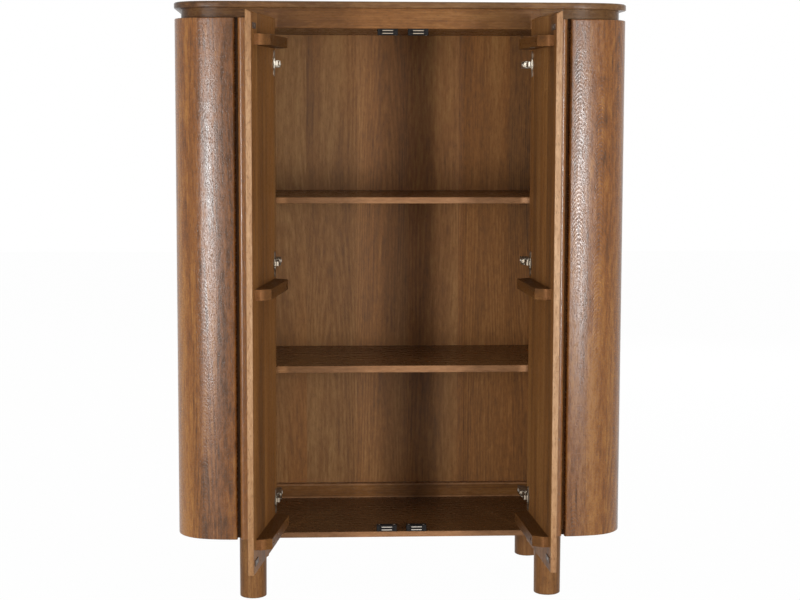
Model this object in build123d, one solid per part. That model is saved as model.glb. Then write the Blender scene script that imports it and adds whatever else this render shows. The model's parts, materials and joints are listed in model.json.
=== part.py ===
from build123d import *
import math
import os

# Kitchen dresser: a two-door cupboard on four turned legs, with rounded sides.
# It is drawn with its doors open, as it rests. Sizes are in millimetres, +X is
# to the right, +Y runs back into the depth and +Z is up. The pieces are drawn
# with the front plane of the closed doors at Y = 0, and at the end everything
# is moved so that the origin is under the middle of the whole.

# Case
body_width = 901.0
body_depth = 410.0
body_height = 1036.0
base_thickness = 11.0
top_board_thickness = 20.0
side_panel_setback = 33.0
side_panel_thickness = 16.0
back_thickness = 12.0
back_recess = 35.0

# Top slab and the set-back neck that carries it
slab_thickness = 13.0
slab_overhang = 1.0
slab_top_ease = 4.0
slab_bottom_ease = 3.0
neck_height = 19.0
neck_setback = 13.0

# Plan of the rounded sides: a gently bowed front runs into a tighter corner
side_width = 121.0
bow_radius = 240.0
corner_radius = 75.5
shell_wall = 20.0
shell_end_ease = 6.0
shell_rim_ease = 2.0

# Fixed front stiles, posts, hinge battens and front rail
groove_width = 6.0
stile_width = 51.5
stile_thickness = 20.0
stile_outer_ease = 7.0
stile_ease = 1.5
post_overlap = 20.0
corner_post_depth = 30.0
rear_post_depth = 40.0
hinge_batten_reach = 10.0
hinge_batten_depth = 58.0
rail_thickness = 20.0

# Doors
door_side_gap = 2.0
meeting_gap = 3.0
door_thickness = 11.5
closing_gap = 2.5
door_drop = 3.5
door_top_rise = 3.0
door_top_slope = 6.0
door_edge_ease = 1.5

# Door battens: the outer two by the distance of their middles from the case's ends
lower_batten_rise = 49.4
upper_batten_drop = 50.8
door_batten_height = 20.0
door_batten_thickness = 28.6
door_batten_margin = 25.8
door_batten_hinge_margin = 15.2
batten_step = 9.5
batten_bevel = 14.0
batten_ease = 1.0
batten_screw_inset = 30.0
batten_screw_sink = 14.0

# Shelves
shelf_thickness = {"lower": 13.9, "upper": 12.6}
shelf_bottom = {"lower": 456.6, "upper": 797.4}
shelf_setback = 43.0
shelf_gap = 0.5
shelf_notch_gap = 1.0
shelf_front_ease = 1.5
pin_radius = 2.5
pin_length = 16.0
pin_depth = 9.0
pin_inset = 42.0

# Legs
leg_height = 126.0
leg_top_radius = 27.2
leg_foot_radius = 26.8
leg_foot_ease = 3.0
leg_side_inset = 151.0
front_leg_inset = 40.5
rear_leg_inset = 36.0
leg_bolt_radius = 4.0
leg_bolt_in_leg = 40.0
leg_bolt_in_base = 8.0
glide_radius = 17.0
glide_thickness = 1.5

# Swing of the doors: a vertical line stands for each door's cup hinges
pivot_beside_door = 0.7
pivot_before_front = 9.1
left_rest_angle = 98.7
right_rest_angle = 92.7

# Cup hinges
lower_hinge_rise = 85.5
middle_hinge_above_batten = 38.6
upper_hinge_drop = 89.0
cup_from_edge = 17.0
cup_radius = 13.0
cup_depth = 9.0
cup_wall = 1.0
flange_thickness = 1.2
flange_width = 14.0
flange_height = 50.0
flange_ring = 1.5
flange_screw_spacing = 38.0
link_height = 8.4
link_strip = 3.2
link_length = 40.0
link_rise = 7.0
link_crank = 9.0
link_bend = 2.5
link_eye_radius = 2.6
link_side_gap = 0.3
link_pin_radius = 1.3
link_pin_gap = 0.1
link_pin_from_edge = 9.0
link_pin_depth = 1.0
arm_sheet = 2.0
arm_depth = 15.0
arm_length = 56.0
arm_front_gap = 1.3
arm_ease = 1.5
arm_nose_ease = 4.0
arm_pivot_inset = 6.0
arm_rivet_radius = 2.2
arm_rivet_proud = 0.6
arm_web_start = 27.0
arm_plate_gap = 4.0
plate_thickness = 2.0
plate_wing_height = 44.0
plate_wing_length = 20.0
plate_ridge_length = 24.0
plate_ridge_gap = 0.1
plate_screw_spacing = 30.0
arm_screw_spacing = 12.0

# Magnetic catches and the strikes that they hold
catch_inner_x = 10.0
catch_length = 40.0
catch_height = 12.5
catch_depth = 16.0
catch_ease = 1.0
catch_screw_inset = 5.0
pole_length = 21.0
pole_depth = 12.0
pole_thickness = 1.6
pole_spacing = 5.6
pole_proud = 0.6
strike_gap = 0.3
strike_length = 34.0
strike_height = 11.0
strike_thickness = 1.4
strike_ease = 1.0

# Screws: shank radius, head radius, head height and length
batten_screw = (2.0, 3.6, 2.5, 22.0)
flange_screw = (1.5, 2.8, 1.4, 9.0)
plate_screw = (1.7, 3.2, 1.4, 15.0)
arm_screw = (1.6, 3.0, 1.6, 7.0)
catch_screw = (1.4, 2.6, 1.4, 16.0)
strike_screw = (1.4, 2.6, 1.2, 8.0)
back_screw = (1.7, 3.2, 1.6, 28.0)
back_screw_count = 5
back_screw_margin = 60.0
seat_gap = 0.05

# Levels and lines worked out from the sizes above
body_half = body_width / 2
centre_half = body_half - side_width
stile_outer_x = centre_half - groove_width
opening_half = stile_outer_x - stile_width
interior_half = opening_half + side_panel_setback
body_top = leg_height + body_height
floor_top = leg_height + base_thickness
ceiling = body_top - top_board_thickness
slab_bottom = body_top + neck_height
panel_outer_x = interior_half + side_panel_thickness
post_outer_x = centre_half + post_overlap
back_front_y = body_depth - back_recess - back_thickness
rail_front_y = door_thickness + closing_gap
rail_back_y = rail_front_y + rail_thickness
hinge_batten_x = opening_half - hinge_batten_reach
hinge_batten_back_y = stile_thickness + hinge_batten_depth
corner_post_back_y = stile_thickness + corner_post_depth
door_hinge_x = opening_half - door_side_gap
door_width = door_hinge_x - meeting_gap / 2
door_bottom = leg_height - door_drop
door_top = body_top + door_top_rise
door_batten_length = door_width - door_batten_margin - door_batten_hinge_margin
door_batten_heights = {
    "lower": leg_height + lower_batten_rise,
    "middle": (leg_height + body_top) / 2,
    "upper": body_top - upper_batten_drop,
}
hinge_heights = [
    leg_height + lower_hinge_rise,
    door_batten_heights["middle"] + middle_hinge_above_batten,
    body_top - upper_hinge_drop,
]
pivot_x = door_hinge_x + pivot_beside_door
pivot_y = -pivot_before_front
leg_x = body_half - leg_side_inset
rear_leg_y = body_depth - rear_leg_inset
cup_x = door_hinge_x - cup_from_edge
wing_x = hinge_batten_x - plate_thickness
arm_outer_x = wing_x - arm_plate_gap
arm_x = arm_outer_x - arm_depth
arm_front_y = door_thickness + flange_thickness + arm_front_gap
arm_back_y = arm_front_y + arm_length
arm_pivot = (arm_x + arm_pivot_inset, arm_front_y + arm_pivot_inset)
arm_inner_half = link_height / 2 + link_side_gap
arm_half = arm_inner_half + arm_sheet
ridge_start_y = arm_front_y + arm_web_start + plate_ridge_gap
ridge_end_y = ridge_start_y + plate_ridge_length
plate_middle_y = (ridge_start_y + ridge_end_y) / 2
link_pin = (door_hinge_x - link_pin_from_edge, door_thickness - link_pin_depth)
rest_angles = {"left": left_rest_angle, "right": right_rest_angle}
catch_front_y = door_thickness + strike_thickness + strike_gap
catch_middle_x = catch_inner_x + catch_length / 2
pin_lines_y = [hinge_batten_back_y + pin_inset, back_front_y - pin_inset]
bow_angle = math.degrees(
    math.asin((body_half - corner_radius - centre_half) / (bow_radius - corner_radius))
)


def block(x, y, z):
    """A box between two X, two Y and two Z values."""
    size = [high - low for low, high in (x, y, z)]
    corner = Pos(x[0], y[0], z[0])
    return corner * Box(*size, align=(Align.MIN, Align.MIN, Align.MIN))


def edges_at(solid, axis, x=None, y=None, z=None):
    """The straight edges along an axis whose middles have the values given."""
    wanted = [("X", x), ("Y", y), ("Z", z)]
    return [
        edge
        for edge in solid.edges().filter_by(axis)
        if all(v is None or abs(getattr(edge.center(), k) - v) < 0.01 for k, v in wanted)
    ]


def both(pieces):
    """Pieces of the right-hand side with their mirror images."""
    return pieces + [mirror(piece, about=Plane.YZ) for piece in pieces]


def plan(inset):
    """The body's outline seen from above, drawn in by an inset, as a face."""

    def point(centre, radius, angle):
        turned = math.radians(angle)
        reach = radius - inset
        return (centre[0] + reach * math.sin(turned), centre[1] - reach * math.cos(turned))

    bow_centre = (centre_half, bow_radius)
    between = bow_radius - corner_radius
    turned = math.radians(bow_angle)
    corner_centre = (
        centre_half + between * math.sin(turned),
        bow_radius - between * math.cos(turned),
    )
    quarter = [
        point(bow_centre, bow_radius, 0),
        point(bow_centre, bow_radius, bow_angle / 2),
        point(bow_centre, bow_radius, bow_angle),
        point(corner_centre, corner_radius, (bow_angle + 90) / 2),
        point(corner_centre, corner_radius, 90),
    ]
    right_back = [(x, body_depth - y) for x, y in quarter]
    left_front = [(-x, y) for x, y in quarter]
    left_back = [(-x, y) for x, y in right_back]
    edges = []
    for points in (quarter, right_back, left_back, left_front):
        edges.append(ThreePointArc(*points[0:3]))
        edges.append(ThreePointArc(*points[2:5]))
    edges.append(Line(left_front[0], quarter[0]))
    edges.append(Line(quarter[4], right_back[4]))
    edges.append(Line(right_back[0], left_back[0]))
    edges.append(Line(left_back[4], left_front[4]))
    return make_face(edges)


def slice_of_plan(inset, bottom, top):
    """The body's outline as a board between two heights."""
    return Pos(0, 0, bottom) * extrude(plan(inset), amount=top - bottom, dir=(0, 0, 1))


def screw(sizes, gap=0.0):
    """A countersunk screw with its head's top at the origin, pointing along -Z."""
    shank_radius, head_radius, head_height, length = sizes
    profile = Polyline(
        (0, gap),
        (head_radius + gap, gap),
        (head_radius + gap, -0.3 * head_height),
        (shank_radius + gap, -head_height - gap),
        (shank_radius + gap, -length + shank_radius - gap),
        (0, -length - gap),
        close=True,
    )
    return revolve(Plane.XZ * make_face(profile), Axis.Z)


def set_screw(sizes, place, direction, gap=0.0):
    """A screw whose head is at a place and whose point looks along a direction."""
    seat = Plane(origin=place, z_dir=tuple(-part for part in direction))
    return seat * screw(sizes, gap)


def cut(solid, tools):
    """A solid with each of some tools taken out of it."""
    for tool in tools:
        solid = solid - tool
    return solid


# Top slab and neck
def make_top_slab():
    slab = slice_of_plan(-slab_overhang, slab_bottom, slab_bottom + slab_thickness)
    slab = fillet(slab.faces().sort_by(Axis.Z)[-1].edges(), slab_top_ease)
    return fillet(slab.faces().sort_by(Axis.Z)[0].edges(), slab_bottom_ease)


def rail_space(bottom, top):
    """The room in the front edge of a board that the front rail takes."""
    return block((-opening_half, opening_half), (0, rail_back_y), (bottom, top))


def make_neck_board():
    return slice_of_plan(neck_setback, body_top, slab_bottom) - rail_space(body_top, slab_bottom)


def make_front_rail():
    rail = block((-opening_half, opening_half), (rail_front_y, rail_back_y), (ceiling, slab_bottom))
    rail = fillet(edges_at(rail, Axis.X, y=rail_front_y, z=ceiling), stile_ease)
    return cut(rail, both(catch_screw_set("top", seat_gap)))


# Boards that close the case at its top and bottom, between the side shells
def case_board(bottom, top):
    board = slice_of_plan(shell_wall, bottom, top)
    rear_fill = block(
        (-centre_half, centre_half), (body_depth - shell_wall, body_depth), (bottom, top)
    )
    return board + rear_fill


def make_top_board():
    return case_board(ceiling, body_top) - rail_space(ceiling, body_top)


def make_base_board():
    board = case_board(leg_height, floor_top)
    tongue = block(
        (-opening_half, opening_half), (rail_front_y, shell_wall), (leg_height, floor_top)
    )
    board = board + tongue
    board = fillet(edges_at(board, Axis.X, y=rail_front_y, z=floor_top), stile_ease)
    holes = [leg_bolt(x, y, seat_gap) for x, y in leg_places.values()]
    return cut(board, holes + both(catch_screw_set("bottom", seat_gap)))


# Rounded sides
def make_side_shell():
    ring = plan(0) - plan(shell_wall)
    half = Pos(centre_half + body_width / 2, body_depth / 2) * Rectangle(body_width, 2 * body_depth)
    shell = Pos(0, 0, leg_height) * extrude(ring & half, amount=body_height, dir=(0, 0, 1))
    end_edges = edges_at(shell, Axis.Z, x=centre_half, y=0)
    end_edges += edges_at(shell, Axis.Z, x=centre_half, y=body_depth)
    shell = fillet(end_edges, shell_end_ease)
    middle_line = plan(shell_wall / 2)
    rims = [
        edge
        for edge in shell.edges()
        if abs(edge.center().Z - leg_height) < 0.01 or abs(edge.center().Z - body_top) < 0.01
        if not middle_line.is_inside(Vector((edge @ 0.5).X, (edge @ 0.5).Y, 0))
        if abs((edge @ 0.5).X - centre_half) > 0.01
    ]
    return fillet(rims, shell_rim_ease)


def make_side_panel():
    panel = block(
        (interior_half, panel_outer_x), (corner_post_back_y, back_front_y), (floor_top, ceiling)
    )
    return cut(panel, right_shelf_pins(seat_gap) + back_screws("right", seat_gap))


def make_front_stile():
    stile = block((opening_half, stile_outer_x), (0, stile_thickness), (leg_height, body_top))
    stile = fillet(edges_at(stile, Axis.Z, x=stile_outer_x, y=0), stile_outer_ease)
    front_edges = edges_at(stile, Axis.Z, x=opening_half, y=0)
    front_edges += edges_at(stile, Axis.X, y=0)
    return fillet(front_edges, stile_ease)


def make_corner_post():
    post = block(
        (interior_half, post_outer_x), (stile_thickness, corner_post_back_y), (floor_top, ceiling)
    )
    return post & slice_of_plan(shell_wall, floor_top, ceiling)


def make_rear_post():
    rear_post_back_y = body_depth - shell_wall
    post = block(
        (panel_outer_x, post_outer_x),
        (rear_post_back_y - rear_post_depth, rear_post_back_y),
        (floor_top, ceiling),
    )
    return post & slice_of_plan(shell_wall, floor_top, ceiling)


def make_hinge_batten():
    batten = block(
        (hinge_batten_x, interior_half), (stile_thickness, hinge_batten_back_y), (floor_top, ceiling)
    )
    return cut(batten, plate_screws(seat_gap))


def make_back_panel():
    panel = block(
        (-panel_outer_x, panel_outer_x),
        (back_front_y, back_front_y + back_thickness),
        (floor_top, ceiling),
    )
    return cut(panel, back_screws("left", seat_gap) + back_screws("right", seat_gap))


def back_screws(side, gap=0.0):
    """Screws through one edge of the back panel into the side panel's edge."""
    sign = 1 if side == "right" else -1
    x = sign * (interior_half + side_panel_thickness / 2)
    low = floor_top + back_screw_margin
    step = (ceiling - back_screw_margin - low) / (back_screw_count - 1)
    y = back_front_y + back_thickness
    heights = [low + step * number for number in range(back_screw_count)]
    return [set_screw(back_screw, (x, y, z), (0, -1, 0), gap) for z in heights]


# Shelves and their pins
def make_shelf(level):
    bottom = shelf_bottom[level]
    top = bottom + shelf_thickness[level]
    half = interior_half - shelf_gap
    shelf = block((-half, half), (shelf_setback, back_front_y - shelf_gap), (bottom, top))
    notch_x = hinge_batten_x - shelf_notch_gap
    notch_back = hinge_batten_back_y + shelf_notch_gap
    for x in ((-half, -notch_x), (notch_x, half)):
        shelf = shelf - block(x, (shelf_setback, notch_back), (bottom, top))
    front_edges = edges_at(shelf, Axis.X, y=shelf_setback)
    return fillet(front_edges, shelf_front_ease)


def right_shelf_pins(gap=0.0):
    radius = pin_radius + gap
    pins = []
    for level in shelf_bottom:
        for y in pin_lines_y:
            inner_end = interior_half + pin_depth - pin_length
            place = Plane(
                origin=(inner_end - gap, y, shelf_bottom[level] - pin_radius), z_dir=(1, 0, 0)
            )
            pin = Cylinder(
                radius, pin_length + 2 * gap, align=(Align.CENTER, Align.CENTER, Align.MIN)
            )
            pins.append(place * pin)
    return pins


# Legs
leg_places = {
    "front_left": (-leg_x, front_leg_inset),
    "front_right": (leg_x, front_leg_inset),
    "rear_left": (-leg_x, rear_leg_y),
    "rear_right": (leg_x, rear_leg_y),
}


def leg_bolt(x, y, gap=0.0):
    length = leg_bolt_in_leg + leg_bolt_in_base + 2 * gap
    bottom = leg_height - leg_bolt_in_leg - gap
    bolt = Cylinder(
        leg_bolt_radius + gap, length, align=(Align.CENTER, Align.CENTER, Align.MIN)
    )
    return Pos(x, y, bottom) * bolt


def make_leg(x, y):
    height = leg_height - glide_thickness
    leg = Cone(
        leg_foot_radius, leg_top_radius, height, align=(Align.CENTER, Align.CENTER, Align.MIN)
    )
    leg = Pos(x, y, glide_thickness) * leg
    leg = fillet(leg.faces().sort_by(Axis.Z)[0].edges(), leg_foot_ease)
    return leg - leg_bolt(x, y, seat_gap)


def make_glide(x, y):
    glide = Cylinder(
        glide_radius, glide_thickness, align=(Align.CENTER, Align.CENTER, Align.MIN)
    )
    glide = Pos(x, y, 0) * glide
    return fillet(glide.faces().sort_by(Axis.Z)[0].edges(), glide_thickness / 3)


# Hinges: plate and arm stay on the case, the cup goes with the door, and a
# cranked link turns on the cup's pin and reaches between the arm's cheeks
def make_hinge_plate(height):
    """A mounting plate: two screwed wings and the ridge that the arm clips on."""
    wing = block(
        (wing_x, hinge_batten_x),
        (plate_middle_y - plate_wing_length / 2, plate_middle_y + plate_wing_length / 2),
        (height - plate_wing_height / 2, height + plate_wing_height / 2),
    )
    wing = fillet(wing.edges().filter_by(Axis.X), plate_wing_length / 4)
    half = arm_inner_half - plate_ridge_gap
    ridge = block(
        (arm_x + arm_sheet + plate_ridge_gap, hinge_batten_x),
        (ridge_start_y, ridge_end_y),
        (height - half, height + half),
    )
    return cut(wing + ridge, plate_screws(seat_gap) + arm_screws(seat_gap))


def plate_screws(gap=0.0):
    offset = plate_screw_spacing / 2
    places = [(wing_x, plate_middle_y, z + side * offset) for z in hinge_heights for side in (-1, 1)]
    return [set_screw(plate_screw, place, (1, 0, 0), gap) for place in places]


def arm_screws(gap=0.0):
    offset = arm_screw_spacing / 2
    places = [(arm_x, plate_middle_y + side * offset, z) for z in hinge_heights for side in (-1, 1)]
    return [set_screw(arm_screw, place, (1, 0, 0), gap) for place in places]


def make_hinge_arm(height):
    """An arm: two cheeks for the link in front, and a web over the ridge behind."""
    arm = block(
        (arm_x, arm_outer_x), (arm_front_y, arm_back_y), (height - arm_half, height + arm_half)
    )
    arm = fillet(edges_at(arm, Axis.Z, x=arm_x, y=arm_front_y), arm_nose_ease)
    arm = fillet(edges_at(arm, Axis.Z, x=arm_x, y=arm_back_y), arm_ease)
    channel = (height - arm_inner_half, height + arm_inner_half)
    web_start_y = arm_front_y + arm_web_start
    arm = arm - block((arm_x, arm_outer_x), (arm_front_y, web_start_y), channel)
    arm = arm - block((arm_x + arm_sheet, arm_outer_x), (web_start_y, arm_back_y), channel)
    for side in (-1, 1):
        middle = height + side * (arm_half + arm_rivet_proud / 2)
        arm = arm + Pos(*arm_pivot, middle) * Cylinder(arm_rivet_radius, arm_rivet_proud)
    return cut(arm, arm_screws(seat_gap))


def turned(point, centre, angle):
    """A point in plan, turned anticlockwise about a centre."""
    x, y = point[0] - centre[0], point[1] - centre[1]
    cosine, sine = math.cos(math.radians(angle)), math.sin(math.radians(angle))
    return (centre[0] + x * cosine - y * sine, centre[1] + x * sine + y * cosine)


def make_hinge_link(side, height):
    """A cranked link on the closed right-hand door, aimed as it rests on its side."""
    arm_seen_from_door = turned(arm_pivot, (pivot_x, pivot_y), -rest_angles[side])
    across, along = (arm_seen_from_door[0] - link_pin[0], arm_seen_from_door[1] - link_pin[1])
    path = FilletPolyline(
        (0, 0),
        (link_strip / 4, link_rise),
        (link_crank, link_rise),
        (link_length, 0),
        radius=link_bend,
    )
    outline = trace(path, link_strip) + Circle(link_eye_radius)
    outline = outline + Pos(link_length, 0) * Circle(link_eye_radius)
    outline = outline - Circle(link_pin_radius + link_pin_gap)
    link = extrude(outline, amount=link_height / 2, dir=(0, 0, 1), both=True)
    aimed = Rot(0, 0, math.degrees(math.atan2(along, across))) * link
    return Pos(*link_pin, height) * aimed


def cup_blank(height, radius, depth):
    """A short round solid sunk into the closed door's inner face at a hinge."""
    seat = Plane(origin=(cup_x, door_thickness, height), z_dir=(0, -1, 0))
    return seat * Cylinder(radius, depth, align=(Align.CENTER, Align.CENTER, Align.MIN))


def make_hinge_cup(height):
    """A hinge cup and its screwed flange, on the closed right-hand door."""
    seat = Plane(origin=(cup_x, door_thickness, height), x_dir=(1, 0, 0), z_dir=(0, 1, 0))
    outline = RectangleRounded(flange_width, flange_height, flange_width / 2 - 1)
    outline = outline + Circle(cup_radius + flange_ring)
    flange = seat * extrude(outline, amount=flange_thickness, dir=(0, 0, 1))
    cup = flange + cup_blank(height, cup_radius, cup_depth)
    mouth = Plane(origin=(cup_x, door_thickness + flange_thickness, height), z_dir=(0, -1, 0))
    hollow = mouth * Cylinder(
        cup_radius - cup_wall,
        flange_thickness + cup_depth - cup_wall,
        align=(Align.CENTER, Align.CENTER, Align.MIN),
    )
    pin_beside_middle = link_pin[0] - cup_x
    inner_half = math.sqrt((cup_radius - cup_wall) ** 2 - pin_beside_middle**2)
    pin = Pos(*link_pin, height) * Cylinder(link_pin_radius, 2 * inner_half + cup_wall)
    return cut(cup - hollow + pin, flange_screws(seat_gap))


def flange_screws(gap=0.0):
    y = door_thickness + flange_thickness
    return [
        set_screw(flange_screw, (cup_x, y, height + side * flange_screw_spacing / 2), (0, -1, 0), gap)
        for height in hinge_heights
        for side in (-1, 1)
    ]


# Catches on the case, strikes on the doors
catch_levels = {
    "top": (ceiling - catch_height, ceiling),
    "bottom": (floor_top, floor_top + catch_height),
}


def catch_screw_set(level, gap=0.0):
    """Both screws of the right-hand catch at one level, driven into its board."""
    bottom, top = catch_levels[level]
    height, direction = (bottom, 1) if level == "top" else (top, -1)
    y = catch_front_y + catch_depth / 2
    places = [catch_inner_x + catch_screw_inset, catch_inner_x + catch_length - catch_screw_inset]
    return [set_screw(catch_screw, (x, y, height), (0, 0, direction), gap) for x in places]


def pole_plates(level, gap=0.0):
    bottom, top = catch_levels[level]
    plates = []
    for side in (-1, 1):
        middle = (bottom + top) / 2 + side * pole_spacing / 2
        half = pole_thickness / 2 + gap
        plates.append(
            block(
                (catch_middle_x - pole_length / 2 - gap, catch_middle_x + pole_length / 2 + gap),
                (catch_front_y, catch_front_y + pole_depth + gap),
                (middle - half, middle + half),
            )
        )
    return plates


def make_catch_housing(level):
    bottom, top = catch_levels[level]
    housing = block(
        (catch_inner_x, catch_inner_x + catch_length),
        (catch_front_y + pole_proud, catch_front_y + catch_depth),
        (bottom, top),
    )
    housing = fillet(housing.edges().filter_by(Axis.Z), catch_ease)
    return cut(housing, pole_plates(level, seat_gap) + catch_screw_set(level, seat_gap))


def strike_screws(gap=0.0):
    y = door_thickness + strike_thickness
    levels = [sum(level) / 2 for level in catch_levels.values()]
    return [set_screw(strike_screw, (catch_middle_x, y, z), (0, -1, 0), gap) for z in levels]


def make_strike(level):
    middle = sum(catch_levels[level]) / 2
    strike = block(
        (catch_middle_x - strike_length / 2, catch_middle_x + strike_length / 2),
        (door_thickness, door_thickness + strike_thickness),
        (middle - strike_height / 2, middle + strike_height / 2),
    )
    strike = fillet(strike.edges().filter_by(Axis.Y), strike_ease)
    return cut(strike, strike_screws(seat_gap))


# Doors, drawn closed on the right-hand side
def batten_screws(gap=0.0):
    inner_end = meeting_gap / 2 + door_batten_margin
    places = [inner_end + batten_screw_inset, inner_end + door_batten_length - batten_screw_inset]
    y = door_thickness + door_batten_thickness - batten_screw_sink
    return {
        level: [set_screw(batten_screw, (x, y, z), (0, -1, 0), gap) for x in places]
        for level, z in door_batten_heights.items()
    }


def make_door_leaf():
    """A door's leaf, whose top slopes down towards the inside."""
    side_view = Polyline(
        (0, door_bottom),
        (0, door_top),
        (door_thickness, door_top - door_top_slope),
        (door_thickness, door_bottom),
        close=True,
    )
    leaf = extrude(Plane.YZ * make_face(side_view), amount=door_width, dir=(1, 0, 0))
    leaf = fillet((Pos(meeting_gap / 2, 0, 0) * leaf).edges(), door_edge_ease)
    tools = [cup_blank(z, cup_radius + seat_gap, cup_depth + seat_gap) for z in hinge_heights]
    tools += flange_screws(seat_gap) + strike_screws(seat_gap)
    for screws in batten_screws(seat_gap).values():
        tools += screws
    return cut(leaf, tools)


def make_door_batten(level):
    """A batten across the door's back: a square step, then a bevel, at each end."""
    middle = door_batten_heights[level]
    start = meeting_gap / 2 + door_batten_margin
    end = start + door_batten_length
    base_y = door_thickness
    step_y = base_y + batten_step
    face_y = base_y + door_batten_thickness
    outline = Polyline(
        (start, base_y),
        (start, step_y),
        (start + batten_bevel, face_y),
        (end - batten_bevel, face_y),
        (end, step_y),
        (end, base_y),
        close=True,
    )
    bottom = middle - door_batten_height / 2
    batten = Pos(0, 0, bottom) * extrude(
        make_face(outline), amount=door_batten_height, dir=(0, 0, 1)
    )
    batten = fillet(edges_at(batten, Axis.X, y=face_y), batten_ease)
    wells = []
    for hole in batten_screws(seat_gap)[level]:
        place = hole.center()
        well = Plane(origin=(place.X, face_y, place.Z), z_dir=(0, -1, 0))
        wells.append(
            well
            * Cylinder(
                batten_screw[1] + seat_gap,
                batten_screw_sink,
                align=(Align.CENTER, Align.CENTER, Align.MIN),
            )
        )
        wells.append(hole)
    return cut(batten, wells)


def make_door(side):
    """Every node of one door, drawn closed on the right-hand side."""
    door = {f"{side}_door_leaf": [make_door_leaf()]}
    for level in door_batten_heights:
        door[f"{side}_{level}_door_batten"] = [make_door_batten(level)]
    screws = batten_screws()
    door[f"{side}_batten_screws"] = [one for level in screws for one in screws[level]]
    door[f"{side}_hinge_cups"] = [make_hinge_cup(height) for height in hinge_heights]
    door[f"{side}_hinge_cup_screws"] = flange_screws()
    door[f"{side}_hinge_links"] = [make_hinge_link(side, height) for height in hinge_heights]
    door[f"{side}_strike_plates"] = [make_strike(level) for level in catch_levels]
    door[f"{side}_strike_screws"] = strike_screws()
    return door


def swing(piece, side):
    """A piece of the closed right-hand door, taken to its side and opened."""
    opened = piece.rotate(Axis((pivot_x, pivot_y, 0), (0, 0, 1)), rest_angles[side])
    return opened if side == "right" else mirror(opened, about=Plane.YZ)


def make_case():
    """Every node of the case, which stands still."""
    case = {
        "top_slab": [make_top_slab()],
        "neck_board": [make_neck_board()],
        "top_board": [make_top_board()],
        "front_rail": [make_front_rail()],
        "base_board": [make_base_board()],
        "back_panel": [make_back_panel()],
        "back_panel_screws": back_screws("left") + back_screws("right"),
        "upper_shelf": [make_shelf("upper")],
        "lower_shelf": [make_shelf("lower")],
        "shelf_pins": both(right_shelf_pins()),
        "leg_bolts": [leg_bolt(x, y) for x, y in leg_places.values()],
        "leg_glides": [make_glide(x, y) for x, y in leg_places.values()],
        "hinge_mounting_plates": both([make_hinge_plate(height) for height in hinge_heights]),
        "hinge_plate_screws": both(plate_screws()),
        "hinge_arms": both([make_hinge_arm(height) for height in hinge_heights]),
        "hinge_arm_screws": both(arm_screws()),
        "catch_housings": both([make_catch_housing(level) for level in catch_levels]),
        "catch_pole_plates": both([one for level in catch_levels for one in pole_plates(level)]),
        "catch_screws": both([one for level in catch_levels for one in catch_screw_set(level)]),
    }
    mirrored_pieces = {
        "side_shell": make_side_shell(),
        "side_panel": make_side_panel(),
        "front_stile": make_front_stile(),
        "corner_post": make_corner_post(),
        "rear_post": make_rear_post(),
        "hinge_batten": make_hinge_batten(),
    }
    for name, piece in mirrored_pieces.items():
        for side, shape in zip(("right", "left"), both([piece])):
            case[f"{side}_{name}"] = [shape]
    for place, (x, y) in leg_places.items():
        case[f"{place}_leg"] = [make_leg(x, y)]
    return case


nodes = make_case()
for side in ("left", "right"):
    for name, pieces in make_door(side).items():
        nodes[name] = [swing(piece, side) for piece in pieces]

# The origin is under the middle of the whole, with the doors open
depths = [piece.bounding_box() for pieces in nodes.values() for piece in pieces]
shift_y = -(min(box.min.Y for box in depths) + max(box.max.Y for box in depths)) / 2

os.makedirs("parts", exist_ok=True)
for name, pieces in nodes.items():
    solids = [Pos(0, shift_y, 0) * solid for piece in pieces for solid in piece.solids()]
    export_step(Compound(children=solids) if len(solids) > 1 else solids[0], f"parts/{name}.step")

print("nodes", len(nodes))
print("front plane at Y", round(shift_y, 3))
print("door pivots at X", round(pivot_x, 3), "and Y", round(pivot_y + shift_y, 3))
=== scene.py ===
import json
import math

import bmesh
import bpy
from mathutils import Matrix, Vector

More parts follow.
